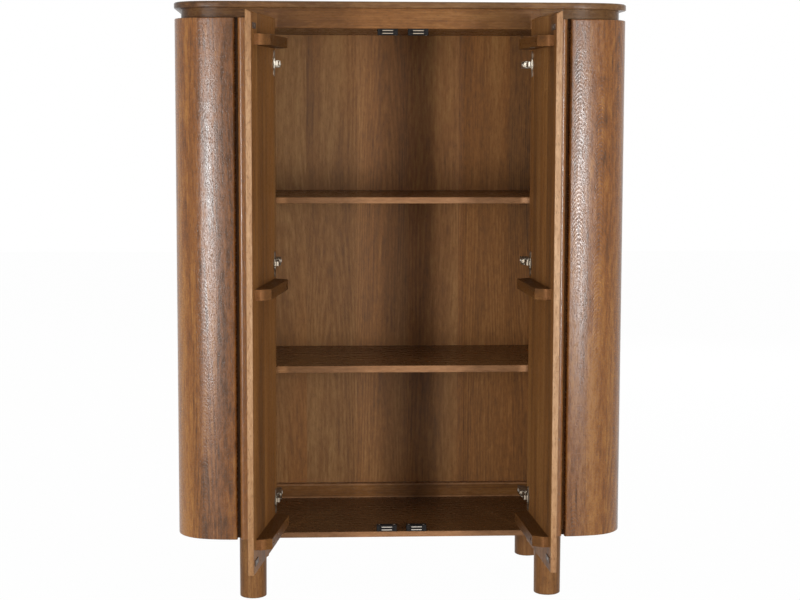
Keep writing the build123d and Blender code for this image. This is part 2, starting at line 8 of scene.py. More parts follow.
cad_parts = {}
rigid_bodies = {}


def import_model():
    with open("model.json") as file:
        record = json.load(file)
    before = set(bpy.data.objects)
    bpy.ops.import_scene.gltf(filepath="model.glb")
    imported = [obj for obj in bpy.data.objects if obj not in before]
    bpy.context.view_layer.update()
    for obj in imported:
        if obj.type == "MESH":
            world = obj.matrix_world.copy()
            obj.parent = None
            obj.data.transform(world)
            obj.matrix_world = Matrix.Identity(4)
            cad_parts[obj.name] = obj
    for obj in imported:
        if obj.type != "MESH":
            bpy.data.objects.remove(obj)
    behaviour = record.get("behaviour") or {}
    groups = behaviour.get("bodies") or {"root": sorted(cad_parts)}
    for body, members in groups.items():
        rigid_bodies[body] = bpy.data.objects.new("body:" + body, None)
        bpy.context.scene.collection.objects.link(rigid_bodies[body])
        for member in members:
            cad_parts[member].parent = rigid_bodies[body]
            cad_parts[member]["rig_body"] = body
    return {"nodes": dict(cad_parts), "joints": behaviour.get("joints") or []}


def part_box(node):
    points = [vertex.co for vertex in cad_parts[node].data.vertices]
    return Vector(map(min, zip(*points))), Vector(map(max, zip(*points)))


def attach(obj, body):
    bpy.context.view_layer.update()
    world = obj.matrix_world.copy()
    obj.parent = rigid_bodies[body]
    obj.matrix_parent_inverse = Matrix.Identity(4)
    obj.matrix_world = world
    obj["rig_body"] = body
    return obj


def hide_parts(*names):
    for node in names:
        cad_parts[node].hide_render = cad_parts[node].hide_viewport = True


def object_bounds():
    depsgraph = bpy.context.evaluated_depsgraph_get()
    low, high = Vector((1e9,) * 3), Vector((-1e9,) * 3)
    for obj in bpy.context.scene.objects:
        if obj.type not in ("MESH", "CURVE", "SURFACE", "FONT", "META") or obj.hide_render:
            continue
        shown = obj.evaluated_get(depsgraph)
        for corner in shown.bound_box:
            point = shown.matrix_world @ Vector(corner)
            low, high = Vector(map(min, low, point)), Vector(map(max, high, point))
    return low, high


bl_info = {
    "name": "Kitchen Dresser",
    "version": (1, 0, 0),
    "blender": (4, 5, 0),
    "location": "View3D > Sidebar > Dresser",
    "description": "Gives the packed dresser its wood, metal, screws and a studio",
    "category": "Object",
}

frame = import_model()
cad_low, cad_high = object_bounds()

# Planes and turns of the imported model that several pieces share
rail_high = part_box("front_rail")[1]
shell_low, shell_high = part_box("right_side_shell")
front_y = shell_low.y
rest_turn = {
    joint["name"].split("_")[0]: -joint["range_deg"][0]
    for joint in frame["joints"]
    if joint["name"].endswith("door_swing")
}

# Settings that several meshes or materials share
sharp_turn = math.radians(32)
merge_distance = 1e-6
noise_mean = 0.5
white = (1.0, 1.0, 1.0, 1.0)


class DresserSizes(bpy.types.PropertyGroup):
    """Sizes of the rounded sides, the top, the legs and the rear rail."""

    bow_radius: bpy.props.FloatProperty(
        name="Bow Radius",
        description="Radius of the gentle bow at the front and back of each side",
        default=0.240,
        unit="LENGTH",
    )
    corner_radius: bpy.props.FloatProperty(
        name="Corner Radius",
        description="Radius of the tighter corner that the bow runs into",
        default=0.0755,
        unit="LENGTH",
    )
    centre_half: bpy.props.FloatProperty(
        name="Half of the Flat Front",
        description="Distance from the middle to where each bow starts",
        default=0.3295,
        unit="LENGTH",
    )
    shell_wall: bpy.props.FloatProperty(
        name="Side Thickness",
        description="Thickness of the bent wood of the rounded sides",
        default=0.020,
        unit="LENGTH",
    )
    shell_end_ease: bpy.props.FloatProperty(
        name="End Easing",
        description="Rounding of the upright ends of the rounded sides",
        default=0.004,
        unit="LENGTH",
    )
    rim_ease: bpy.props.FloatProperty(
        name="Rim Easing",
        description="Rounding of the outer rims of the rounded sides",
        default=0.002,
        unit="LENGTH",
    )
    slab_overhang: bpy.props.FloatProperty(
        name="Slab Overhang",
        description="How far the top slab stands out past the sides",
        default=0.001,
        unit="LENGTH",
    )
    slab_top_ease: bpy.props.FloatProperty(
        name="Slab Top Easing",
        description="Rounding of the slab's upper edge",
        default=0.004,
        unit="LENGTH",
    )
    slab_bottom_ease: bpy.props.FloatProperty(
        name="Slab Bottom Easing",
        description="Rounding of the slab's lower edge",
        default=0.003,
        unit="LENGTH",
    )
    neck_setback: bpy.props.FloatProperty(
        name="Neck Setback",
        description="How far the board under the slab stands back from the sides",
        default=0.013,
        unit="LENGTH",
    )
    foot_radius: bpy.props.FloatProperty(
        name="Foot Radius",
        description="Radius of a leg at the floor",
        default=0.0268,
        unit="LENGTH",
    )
    foot_ease: bpy.props.FloatProperty(
        name="Foot Easing",
        description="Rounding of a leg's lower edge",
        default=0.003,
        unit="LENGTH",
    )
    rear_rail_depth: bpy.props.FloatProperty(
        name="Rear Rail Depth",
        description="Front to back size of the rail at the foot of the back panel",
        default=0.017,
        unit="LENGTH",
    )
    rear_rail_height: bpy.props.FloatProperty(
        name="Rear Rail Height",
        description="Height of the rail at the foot of the back panel",
        default=0.031,
        unit="LENGTH",
    )
    rear_rail_ease: bpy.props.FloatProperty(
        name="Rear Rail Easing",
        description="Rounding of the rear rail's upper front edge",
        default=0.003,
        unit="LENGTH",
    )


class DresserFinish(bpy.types.PropertyGroup):
    """Colours and gloss of the stained wood."""

    dark_tone: bpy.props.FloatVectorProperty(
        name="Dark Tone",
        description="Colour of the darkest streaks in the wood",
        default=(0.122, 0.056, 0.023),
        subtype="COLOR",
    )
    middle_tone: bpy.props.FloatVectorProperty(
        name="Middle Tone",
        description="Colour of most of the wood",
        default=(0.272, 0.111, 0.032),
        subtype="COLOR",
    )
    light_tone: bpy.props.FloatVectorProperty(
        name="Light Tone",
        description="Colour of the lightest streaks in the wood",
        default=(0.420, 0.204, 0.064),
        subtype="COLOR",
    )
    raw_tone: bpy.props.FloatVectorProperty(
        name="Bare Edge Tone",
        description="Colour of the paler free edges of the doors",
        default=(0.530, 0.345, 0.210),
        subtype="COLOR",
    )
    roughness: bpy.props.FloatProperty(
        name="Roughness",
        description="Roughness of the satin finish",
        default=0.27,
        min=0.0,
        max=1.0,
        subtype="FACTOR",
    )
    pore_depth: bpy.props.FloatProperty(
        name="Pore Depth",
        description="Depth of the open pores in the wood",
        default=0.0003,
        unit="LENGTH",
    )


def opaque(colour, share=1.0):
    """A colour, or a share of its brightness, with full alpha."""
    return (*(part * share for part in colour), 1.0)


# Node trees
class Link:
    """A node's output that takes part in expressions."""

    def __init__(self, tree, socket):
        self.tree = tree
        self.socket = socket

    def math(self, operation, *values):
        return self.tree.math(operation, self, *values)

    def __add__(self, other):
        return self.math("ADD", other)

    def __radd__(self, other):
        return self.math("ADD", other)

    def __sub__(self, other):
        return self.math("SUBTRACT", other)

    def __rsub__(self, other):
        return self.tree.math("SUBTRACT", other, self)

    def __mul__(self, other):
        return self.math("MULTIPLY", other)

    def __rmul__(self, other):
        return self.math("MULTIPLY", other)

    def __truediv__(self, other):
        return self.math("DIVIDE", other)

    def __rtruediv__(self, other):
        return self.tree.math("DIVIDE", other, self)


class Tree:
    """A node tree that is written as expressions."""

    def __init__(self, tree):
        self.tree = tree

    def node(self, kind, settings=None, inputs=None, output=0):
        """Adds a node: its settings first, then the values or links of its sockets.

        A list holds the links of a socket that takes several.
        """
        made = self.tree.nodes.new(kind)
        for name, value in (settings or {}).items():
            if name == "stops":
                self.set_stops(made.color_ramp, value)
            else:
                setattr(made, name, value)
        for name, value in (inputs or {}).items():
            links = value if isinstance(value, list) else [value]
            if isinstance(links[0], Link):
                for link in links:
                    self.tree.links.new(link.socket, made.inputs[name])
            else:
                made.inputs[name].default_value = value
        return Link(self, made.outputs[output])

    def outputs(self, kind, names, inputs=None):
        """Several outputs of one new node."""
        made = self.node(kind, None, inputs).socket.node
        return [Link(self, made.outputs[name]) for name in names]

    def set_stops(self, ramp, stops):
        while len(ramp.elements) < len(stops):
            ramp.elements.new(0.5)
        for element, (place, colour) in zip(ramp.elements, stops):
            element.position = place
            element.color = opaque(colour)

    def math(self, operation, *values):
        inputs = dict(enumerate(values))
        return self.node("ShaderNodeMath", {"operation": operation}, inputs)

    def mix_colours(self, share, first, second, blend="MIX"):
        """Mixes colours, which lie at a Mix node's inputs 6 and 7 and its output 2."""
        inputs = {0: share, 6: first, 7: second}
        settings = {"data_type": "RGBA", "blend_type": blend}
        return self.node("ShaderNodeMix", settings, inputs, output=2)

    def vector(self, x, y, z):
        return self.node("ShaderNodeCombineXYZ", None, {0: x, 1: y, 2: z})

    def between(self, value, low, high):
        """0 below low, 1 above high and smooth between them."""
        settings = {"interpolation_type": "SMOOTHSTEP"}
        return self.node("ShaderNodeMapRange", settings, {0: value, 1: low, 2: high})

    def near(self, value, plane, full, none):
        """1 up to the distance full past a plane, and 0 from the distance none on."""
        return self.between(value, plane + none, plane + full)

    def noise(self, vector, scale=1.0, detail=2.0, roughness=0.5):
        inputs = {"Vector": vector, "Scale": scale}
        inputs.update({"Detail": detail, "Roughness": roughness})
        return self.node("ShaderNodeTexNoise", None, inputs)

    def dice(self, index):
        """A random number from 0 to 1 for each whole index."""
        settings = {"noise_dimensions": "1D"}
        return self.node("ShaderNodeTexWhiteNoise", settings, {"W": index})


class Paint(Tree):
    """A material under construction."""

    def __init__(self, name):
        self.material = bpy.data.materials.new(name)
        self.material.use_nodes = True
        super().__init__(self.material.node_tree)
        self.shader = self.tree.nodes["Principled BSDF"]

    def coordinates(self, uv=None):
        """The three Object coordinates, or a UV map's two with a nought between."""
        if uv is None:
            place = self.node("ShaderNodeTexCoord", output="Object")
        else:
            place = self.node("ShaderNodeUVMap", {"uv_map": uv})
        x, y, z = self.outputs("ShaderNodeSeparateXYZ", "XYZ", {0: place})
        return (x, y, z) if uv is None else (x, 0.0, y)

    def feed(self, **sockets):
        for name, value in sockets.items():
            socket = self.shader.inputs[name.replace("_", " ")]
            if isinstance(value, Link):
                self.tree.links.new(value.socket, socket)
            else:
                socket.default_value = value
        return self.material

    def bump(self, height, distance, strength):
        inputs = {"Height": height, "Distance": distance, "Strength": strength}
        return self.node("ShaderNodeBump", None, inputs)


# What each pattern of the wood adds to its tone, its relief and its roughness
tone_shares = {
    "broad": 0.95,
    "streak": 0.34,
    "rings": 0.060,
    "curls": 0.065,
    "cloud": 0.50,
    "fibre": 0.42,
    "planks": 0.42,
}
relief_shares = {"fibre": 0.3, "cloud": 0.6, "pebble": 1.5, "curls": 0.5}
rough_shares = {
    "cloud": 0.30,
    "streak": 0.16,
    "pores": 0.12,
    "pebble": 0.30,
    "curls": 0.10,
    "matt": 0.5,
}

# Where the dark, the middle and the light tone lie on the scale of tones
tone_places = (0.10, 0.50, 0.92)

# The cool tint of the greyer planks, and how dark the pores are
ash_tint = (0.80, 0.90, 1.10)
pore_cover, pore_shade = 0.36, 0.35

# Between which values of their noise pores and clear wood set in, and how far
# beside the heart, in metres, the curls die out
pore_range, clear_range, heart_range = (0.57, 0.72), (0.38, 0.58), (0.008, 0.018)


def stained_wood(
    name,
    grain,
    tones,
    plank=None,
    uv=None,
    seed=0.0,
    lift=None,
    planks=1.0,
    bands=1.0,
    figure=1.0,
    curl=0.0,
    mottle=1.0,
    grey=1.0,
    pitted=1.0,
    relief=0.40,
    gloss=0.0,
    sheen=0.14,
    edge=None,
    matt=None,
):
    """Stained, satin wood with its grain along an axis.

    plank is a plank's width and seed moves the pattern to another part of the
    tree. gloss, sheen and relief change the roughness, the reflection and the
    bumps, and planks, bands, figure, curl, mottle, grey and pitted say how much
    of each pattern shows. lift gives what is added to the tone, edge a mask and
    two colours for paler bare edges and for painted light and shade near edges,
    and matt a mask for what is left rough.
    """
    finish = bpy.context.scene.dresser_finish
    paint = Paint(name)
    x, y, z = paint.coordinates(uv)
    across, depth, along = {"x": (z, y, x), "y": (z, x, y), "z": (x, y, z)}[grain]
    side = across + depth

    # Planks: each has its own tone and greyness, and its place beside the heart
    if plank is None:
        heart_offset = 0.01
        dice, greyness, shift = noise_mean, noise_mean, seed
        beside = side - heart_offset
    else:
        drift_scale, drift_reach, second_throw, jump = 0.6, 0.004, 0.37, 7.0
        waver = paint.noise(paint.vector(0.0, seed, along), drift_scale)
        place = (side + waver * drift_reach) / plank + seed
        index = place.math("FLOOR")
        dice, greyness = paint.dice(index), paint.dice(index + second_throw)
        shift = dice * jump + seed
        beside = (place - index - 0.5) * plank

    def pattern(wide, long, bend=0.0, moved="y", detail=2.0, roughness=0.5):
        """Noise that varies so often in a metre across and along the grain.

        bend is how far the slow waviness bends it, and moved names the
        coordinates that the plank's own shift moves.
        """
        parts = {"x": across * wide, "y": depth * wide, "z": along * long}
        if bend:
            parts["x"] = parts["x"] + warp * bend
        for axis in moved:
            parts[axis] = parts[axis] + shift
        return paint.noise(
            paint.vector(*parts.values()), detail=detail, roughness=roughness
        )

    low = pattern(6.0, 0.9, detail=1.0)
    warp = low - noise_mean
    broad = pattern(24.0, 1.5, bend=2.5, moved="yz")
    streak = pattern(95.0, 3.6, bend=8.0, moved="yz")
    cloud = pattern(190.0, 48.0, detail=3.0, roughness=0.62)
    fibre = pattern(260.0, 13.0, bend=20.0, moved="z")
    pores = paint.between(pattern(520.0, 170.0, moved="x", detail=1.0), *pore_range)

    # Growth rings round the tree's heart, which wanders, seen where the wood is clear
    tilt, wander, spread, offset = 0.050, 0.10, 0.10, 0.06
    ring_pitch, ring_waver = 1250.0, 10.0
    heart = along * tilt + warp * wander + (dice * spread - offset)
    radius = (beside * beside + heart * heart).math("SQRT")
    clear = paint.between(pattern(9.0, 2.2, moved="z", detail=1.0), *clear_range)
    rings = (radius * ring_pitch + broad * ring_waver).math("SINE") * clear

    # Curls: bowed ripples across the grain, beside the heart
    bow, curl_pitch, broad_waver, low_waver = 90.0, 760.0, 22.0, 30.0
    bowed = (along + beside * beside * bow) * curl_pitch
    arc = bowed + (broad * broad_waver + low * low_waver)
    near_heart = 1.0 - paint.between(beside.math("ABSOLUTE"), *heart_range)
    curls = arc.math("SINE") * near_heart * clear * curl

    # Colour: the tone, then grey planks, paler edges and painted light and shade by a
    # mask, and dark pores
    tone = (
        (broad - noise_mean) * tone_shares["broad"] * bands
        + (streak - noise_mean) * tone_shares["streak"] * bands
        + (rings * tone_shares["rings"] + curls * tone_shares["curls"]) * figure
        + (cloud - noise_mean) * tone_shares["cloud"] * mottle
        + (fibre - noise_mean) * tone_shares["fibre"] * mottle
        + (dice - noise_mean) * tone_shares["planks"] * planks
        + tone_places[1]
    )
    if lift is not None:
        tone = tone + lift(paint, x, y, z)
    stops = list(zip(tone_places, tones))
    base = paint.node("ShaderNodeValToRGB", {"stops": stops}, {0: tone})
    own_ash, slow_ash, least_ash = 0.55, 1.3, 0.62
    ash = (greyness * own_ash + low * slow_ash - least_ash).math("MAXIMUM", 0.0) * grey
    ash = ash.math("MINIMUM", 1.0)
    base = paint.mix_colours(ash, base, opaque(ash_tint), "MULTIPLY")
    if edge is not None:
        mask, low_tone, high_tone = edge
        cloud_edge_share, streak_edge_share, least_edge_share = 1.3, 0.7, 0.5
        edge_mottle = cloud * cloud_edge_share + streak * streak_edge_share - least_edge_share
        edging = paint.mix_colours(edge_mottle, low_tone, high_tone)
        base = paint.mix_colours(mask(paint, x, y, z), base, edging)
    pored = pores * pore_cover * pitted
    base = paint.mix_colours(pored, base, opaque(tones[0], pore_shade))

    # Relief and roughness
    height = (
        (fibre - noise_mean) * relief_shares["fibre"]
        + (cloud - noise_mean) * relief_shares["cloud"]
        - pores
    )
    roughness = (
        (cloud - noise_mean) * rough_shares["cloud"]
        + (streak - noise_mean) * rough_shares["streak"]
        + pores * rough_shares["pores"]
        + (finish.roughness + gloss)
    )
    if curl:
        pebble = pattern(380.0, 330.0) - noise_mean
        height = height + pebble * relief_shares["pebble"]
        height = height + curls * relief_shares["curls"]
        roughness = roughness + pebble * rough_shares["pebble"]
        roughness = roughness - curls * rough_shares["curls"]
    if matt is not None:
        roughness = roughness + matt(paint, x, y, z) * rough_shares["matt"]
    return paint.feed(
        Base_Color=base,
        Roughness=roughness,
        Specular_IOR_Level=sheen,
        Normal=paint.bump(height, finish.pore_depth, relief),
    )


def metal(name, colour, roughness, dark_reflection_heights=None):
    """Plated metal with faint clouds in its gloss and fine lines.

    The last argument gives two heights, between which the plate changes from a painted
    dark reflection, the brown of the wood that it would mirror, to its own bright colour.
    """
    cloud_scale, cloud_shade, cloud_cover, gloss_change = 60.0, 0.72, 0.25, 0.18
    lines_across, lines_along, line_depth, line_strength = 900.0, 60.0, 0.00003, 0.3
    # The brown of the painted dark reflection, as of the wood that a plate mirrors
    painted_dark_reflection = (0.26, 0.215, 0.165)
    paint = Paint(name)
    x, y, z = paint.coordinates()
    clouds = paint.noise(paint.vector(x, y, z), cloud_scale, detail=3.0)
    lines = paint.noise(
        paint.vector(x * lines_across, y * lines_across, z * lines_along)
    )
    darker = opaque(colour, cloud_shade)
    shade = paint.mix_colours(clouds * cloud_cover, opaque(colour), darker)
    if dark_reflection_heights is not None:
        bright = paint.between(z, *dark_reflection_heights)
        shade = paint.mix_colours(bright, opaque(painted_dark_reflection), shade)
    return paint.feed(
        Base_Color=shade,
        Metallic=1.0,
        Roughness=(clouds - noise_mean) * gloss_change + roughness,
        Normal=paint.bump(lines, line_depth, line_strength),
    )


def moulded_plastic(name, colour, roughness):
    """Moulded plastic with a fine sparked texture."""
    grain_scale, grain_depth, grain_strength = 2600.0, 0.00006, 0.4
    cloud_scale, cloud_shade, cloud_cover, gloss_change = 90.0, 1.7, 0.5, 0.2
    paint = Paint(name)
    x, y, z = paint.coordinates()
    grain = paint.noise(paint.vector(x, y, z), grain_scale)
    clouds = paint.noise(paint.vector(x, y, z), cloud_scale)
    lighter = opaque(colour, cloud_shade)
    return paint.feed(
        Base_Color=paint.mix_colours(clouds * cloud_cover, opaque(colour), lighter),
        Roughness=(clouds - noise_mean) * gloss_change + roughness,
        Specular_IOR_Level=0.22,
        Normal=paint.bump(grain, grain_depth, grain_strength),
    )


def wood_tones(brightness=1.0, warmth=1.0):
    """The three tones of the finish, made lighter or darker and redder or greyer."""
    finish = bpy.context.scene.dresser_finish
    # Warmth takes away less of the green than of the blue
    green_warmth = warmth**0.3
    tones = []
    for tone in (finish.dark_tone, finish.middle_tone, finish.light_tone):
        red, green, blue = (part * brightness for part in tone)
        tones.append((red, green / green_warmth, blue / warmth))
    return tones


# Meshes
def put_in_scene(name, data):
    made = bpy.data.objects.new(name, data)
    bpy.context.scene.collection.objects.link(made)
    return made


def smooth(mesh):
    """Shades a mesh smooth, but for its sharp edges."""
    mesh.shade_smooth()
    mesh.set_sharp_from_angle(angle=sharp_turn)


def mesh_of(name, work):
    """A smooth mesh with its faces turned outwards, from what was worked on."""
    bmesh.ops.recalc_face_normals(work, faces=work.faces)
    mesh = bpy.data.meshes.new(name)
    work.to_mesh(mesh)
    work.free()
    smooth(mesh)
    return mesh


def loft(name, rings, uvs=None):
    """A closed mesh through rings of as many points each, capped at both ends.

    uvs holds each ring's coordinates in the map called grain.
    """
    work = bmesh.new()
    rows = [[work.verts.new(point) for point in ring] for ring in rings]
    work.faces.new(rows[0])
    work.faces.new(rows[-1])
    for row, following in zip(rows, rows[1:]):
        for place in range(len(row)):
            after = (place + 1) % len(row)
            corners = (row[place], following[place], following[after], row[after])
            work.faces.new(corners)
    if uvs is not None:
        flat = [uv for ring in uvs for uv in ring]
        work.verts.index_update()
        layer = work.loops.layers.uv.new("grain")
        for face in work.faces:
            for loop in face.loops:
                loop[layer].uv = flat[loop.vert.index]
    return mesh_of(name, work)


def add_piece(name, mesh, material, nodes, weighted=True, replaces=True):
    """A piece that rides with CAD nodes in their slot, and mostly replaces them."""
    piece = put_in_scene(name, mesh)
    mesh.materials.clear()
    mesh.materials.append(material)
    if weighted:
        modifier = piece.modifiers.new("Even Normals", "WEIGHTED_NORMAL")
        modifier.keep_sharp = True
    body = frame["nodes"][nodes[0]]["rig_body"]
    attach(piece, body)
    if replaces:
        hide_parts(*nodes)


def merged_copy(node):
    """A CAD node's triangles to work on, with their corners merged."""
    work = bmesh.new()
    work.from_mesh(frame["nodes"][node].data)
    bmesh.ops.remove_doubles(work, verts=work.verts, dist=merge_distance)
    return work


def smooth_copy(node, material):
    """A CAD node's shape with its corners merged, so that its rounds look round."""
    work = merged_copy(node)
    bmesh.ops.dissolve_degenerate(work, edges=work.edges, dist=merge_distance)
    add_piece(node + "_finished", mesh_of(node + "_shape", work), material, [node])


def dress(nodes, material):
    """Gives CAD nodes a material."""
    for node in nodes:
        mesh = frame["nodes"][node].data
        mesh.materials.clear()
        mesh.materials.append(material)


def solids_of(node):
    """The separate solids of a CAD node, each a list of points, in order of place."""
    work = merged_copy(node)
    left, found = set(work.verts), []
    while left:
        stack, points = [left.pop()], []
        while stack:
            vert = stack.pop()
            points.append(vert.co.copy())
            for edge in vert.link_edges:
                other = edge.other_vert(vert)
                if other in left:
                    left.remove(other)
                    stack.append(other)
        found.append(points)
    work.free()
    return sorted(found, key=lambda one: tuple(round(v, 4) for v in points_middle(one)))


def points_middle(points):
    """The middle of the box round some points."""
    low = [min(point[axis] for point in points) for axis in range(3)]
    high = [max(point[axis] for point in points) for axis in range(3)]
    return Vector([(a + b) / 2 for a, b in zip(low, high)])


def quarter_round(radius, steps=5):
    """Pairs (inset, rise) along a quarter round, from its inner end outwards."""
    turns = [math.pi / 2 * step / steps for step in range(steps + 1)]
    unit = [(1 - math.sin(turn), 1 - math.cos(turn)) for turn in turns]
    return [(radius * inset, radius * rise) for inset, rise in unit]


def eased_edge(low, high, lower, upper):
    """Pairs (inset, height) up a board's edge, with a round at each arris."""
    pairs = [(inset, low + rise) for inset, rise in lower]
    return pairs + [(inset, high - rise) for inset, rise in reversed(upper)]


def side_stations():
    """Points, outward normals and run along the outside of the right-hand side."""
    bow_steps, corner_steps = 12, 40
    sizes = bpy.context.scene.dresser_sizes
    half_width = shell_high.x
    depth = shell_high.y - shell_low.y
    span = sizes.bow_radius - sizes.corner_radius
    bow_turn = math.asin((half_width - sizes.corner_radius - sizes.centre_half) / span)
    bow_middle = (sizes.centre_half, sizes.bow_radius)
    corner_middle = (
        sizes.centre_half + span * math.sin(bow_turn),
        sizes.bow_radius - span * math.cos(bow_turn),
    )
    front = []
    for step in range(bow_steps + 1):
        turn = bow_turn * step / bow_steps
        front.append((bow_middle, sizes.bow_radius, turn))
    for step in range(1, corner_steps + 1):
        turn = bow_turn + (math.pi / 2 - bow_turn) * step / corner_steps
        front.append((corner_middle, sizes.corner_radius, turn))
    stations = []
    for middle, radius, turn in front:
        normal = (math.sin(turn), -math.cos(turn))
        point = (middle[0] + radius * normal[0], middle[1] + radius * normal[1])
        stations.append((point, normal))
    stations += [((x, depth - y), (nx, -ny)) for (x, y), (nx, ny) in reversed(stations)]
    run, placed = 0.0, []
    for number, (point, normal) in enumerate(stations):
        if number:
            run += math.dist(point, stations[number - 1][0])
        placed.append(((point[0], point[1] + front_y), normal, run))
    return placed


def make_side_shell(side, material):
    """One rounded side: a bent board with eased ends and rims."""
    sizes = bpy.context.scene.dresser_sizes
    sign = 1 if side == "right" else -1
    stations = side_stations()
    length = stations[-1][2]
    ease, wall = sizes.shell_end_ease, sizes.shell_wall
    eased = [(run, inset) for inset, run in quarter_round(ease)]
    first_point, first_normal, _ = stations[0]
    last_point, last_normal, _ = stations[-1]
    rows = [
        ((first_point[0] + run, first_point[1]), first_normal, run, inset)
        for run, inset in eased
    ]
    between_ends = [one for one in stations if ease < one[2] < length - ease]
    rows += [(*station, 0.0) for station in between_ends]
    rows += [
        ((last_point[0] + run, last_point[1]), last_normal, length - run, inset)
        for run, inset in reversed(eased)
    ]
    rim = quarter_round(sizes.rim_ease, steps=4)
    low, high = shell_low.z, shell_high.z
    outside = eased_edge(low, high, rim, rim)
    rings, uvs = [], []
    for (x, y), (nx, ny), run, end_inset in rows:
        section = [(end_inset + inset, z) for inset, z in outside]
        section += [(wall, high), (wall, low)]
        ring = [(sign * (x - nx * reach), y - ny * reach, z) for reach, z in section]
        rings.append(ring)
        uvs.append([(run, z) for _, z in section])
    mesh = loft(side + "_side_shell_shape", rings, uvs)
    add_piece(side + "_rounded_side", mesh, material, [side + "_side_shell"])


def full_outline(inset):
    """Points right round the body, from the right front on, set in by a distance."""
    right = [(point, normal) for point, normal, _ in side_stations()]
    left = [((-x, y), (-nx, ny)) for (x, y), (nx, ny) in reversed(right)]
    return [(x - nx * inset, y - ny * inset) for (x, y), (nx, ny) in right + left]


def make_top_slab(material):
    """The slab: the body's outline with a rounded edge all the way round."""
    sizes = bpy.context.scene.dresser_sizes
    low, high = (corner.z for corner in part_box("top_slab"))
    lower = quarter_round(sizes.slab_bottom_ease)
    upper = quarter_round(sizes.slab_top_ease, steps=6)
    rings = []
    for inset, z in eased_edge(low, high, lower, upper):
        rings.append([(x, y, z) for x, y in full_outline(inset - sizes.slab_overhang)])
    add_piece("rounded_top", loft("top_slab_shape", rings), material, ["top_slab"])


def make_neck_board(material):
    """The set-back board under the slab, notched at its front for the rail."""
    setback = bpy.context.scene.dresser_sizes.neck_setback
    notch_x, notch_y, neck_y = rail_high.x, rail_high.y, front_y + setback
    outline = full_outline(setback)
    outline += [(-notch_x, neck_y), (-notch_x, notch_y)]
    outline += [(notch_x, notch_y), (notch_x, neck_y)]
    rings = [[(x, y, corner.z) for x, y in outline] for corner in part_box("neck_board")]
    add_piece("rounded_neck", loft("neck_board_shape", rings), material, ["neck_board"])


def rear_rail_span():
    """The heights of the rear rail's lower and upper faces."""
    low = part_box("back_panel")[0].z
    return low, low + bpy.context.scene.dresser_sizes.rear_rail_height


def make_rear_rail(material):
    """The low rail that lies on the case's floor along the foot of the back panel."""
    sizes = bpy.context.scene.dresser_sizes
    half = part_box("right_side_panel")[0].x
    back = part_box("back_panel")[0].y
    low, high = rear_rail_span()
    front = back - sizes.rear_rail_depth
    rounds = quarter_round(sizes.rear_rail_ease)
    outline = [(back, low), (front, low)]
    outline += [(front + inset, high - rise) for inset, rise in reversed(rounds)]
    outline.append((back, high))
    rings = [[(x, y, z) for y, z in outline] for x in (-half, half)]
    mesh = loft("rear_rail_shape", rings)
    add_piece("rear_rail", mesh, material, ["base_board"], replaces=False)


# Geometry Nodes
def input_tree(name, sizes):
    """A Geometry Nodes tree with named sizes and a material, and its input links."""
    group = bpy.data.node_groups.new(name, "GeometryNodeTree")
    sockets = group.interface
    sockets.new_socket("Geometry", in_out="INPUT", socket_type="NodeSocketGeometry")
    for label, default in sizes.items():
        made = sockets.new_socket(label, in_out="INPUT", socket_type="NodeSocketFloat")
        made.default_value = default
    sockets.new_socket("Material", in_out="INPUT", socket_type="NodeSocketMaterial")
    sockets.new_socket("Geometry", in_out="OUTPUT", socket_type="NodeSocketGeometry")
    tree = Tree(group)
    outputs = group.nodes.new("NodeGroupInput").outputs
    given = {socket.name: Link(tree, socket) for socket in outputs if socket.name}
    return tree, given


def close_tree(tree, geometry, material):
    """Ends a tree in real geometry with its material."""
    real = tree.node("GeometryNodeRealizeInstances", None, {0: geometry})
    inputs = {"Geometry": real, "Material": material}
    painted = tree.node("GeometryNodeSetMaterial", None, inputs)
    output = tree.tree.nodes.new("NodeGroupOutput")
    tree.tree.links.new(painted.socket, output.inputs[0])
    return tree.tree


def grow(name, group, points, values, attributes=None):
    """Runs a tree on points and gives its result as a plain mesh."""
    mesh = bpy.data.meshes.new(name + "_points")
    mesh.from_pydata([tuple(point) for point in points], [], [])
    for label, vectors in (attributes or {}).items():
        layer = mesh.attributes.new(label, "FLOAT_VECTOR", "POINT")
        flat = [part for vector in vectors for part in vector]
        layer.data.foreach_set("vector", flat)
    holder = put_in_scene(name + "_grower", mesh)
    modifier = holder.modifiers.new("Grow", "NODES")
    modifier.node_group = group
    identifiers = {
        item.name: item.identifier
        for item in group.interface.items_tree
        if item.in_out == "INPUT"
    }
    for label, value in values.items():
        modifier[identifiers[label]] = value
    evaluated = holder.evaluated_get(bpy.context.evaluated_depsgraph_get())
    result = bpy.data.meshes.new_from_object(evaluated)
    holder.modifiers.remove(modifier)
    bpy.data.objects.remove(holder)
    if not result.polygons:
        raise RuntimeError(f"the tree for {name} made no faces")
    result.name = name + "_shape"
    return result


